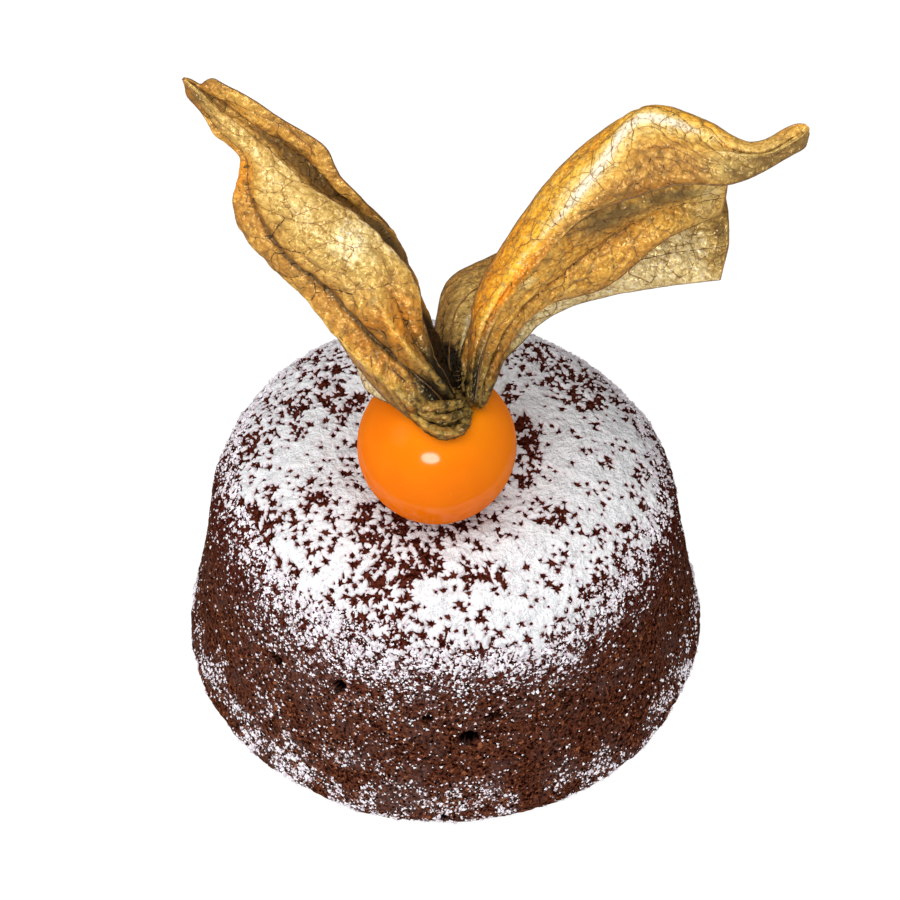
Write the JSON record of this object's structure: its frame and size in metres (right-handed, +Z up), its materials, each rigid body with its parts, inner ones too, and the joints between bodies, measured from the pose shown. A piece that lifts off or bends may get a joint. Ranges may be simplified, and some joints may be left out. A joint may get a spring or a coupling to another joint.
{
  "type": "chocolate souffle with cape gooseberry",
  "caption": "Turned-out chocolate souffle dusted with icing sugar, a cape gooseberry on top with its papery husk turned back as wings.",
  "frame": {"origin": "middle of the souffle's flat base", "axes": "+Z up, -Y towards the side that shows the berry in front of its husk, +X towards the longer husk wing"},
  "size_m": [0.0791, 0.07, 0.0912],
  "materials": {
    "crumb": "matt, porous dark brown cake crumb, dusted with white icing sugar on top",
    "berry_skin": "smooth, waxy, glossy orange fruit skin",
    "husk": "dry, crisp, papery golden-brown husk with darker veins"
  },
  "bodies": {
    "root": {"souffle": "crumb", "physalis_berry": "berry_skin", "physalis_husk": "husk"}
  },
  "joints": []
}
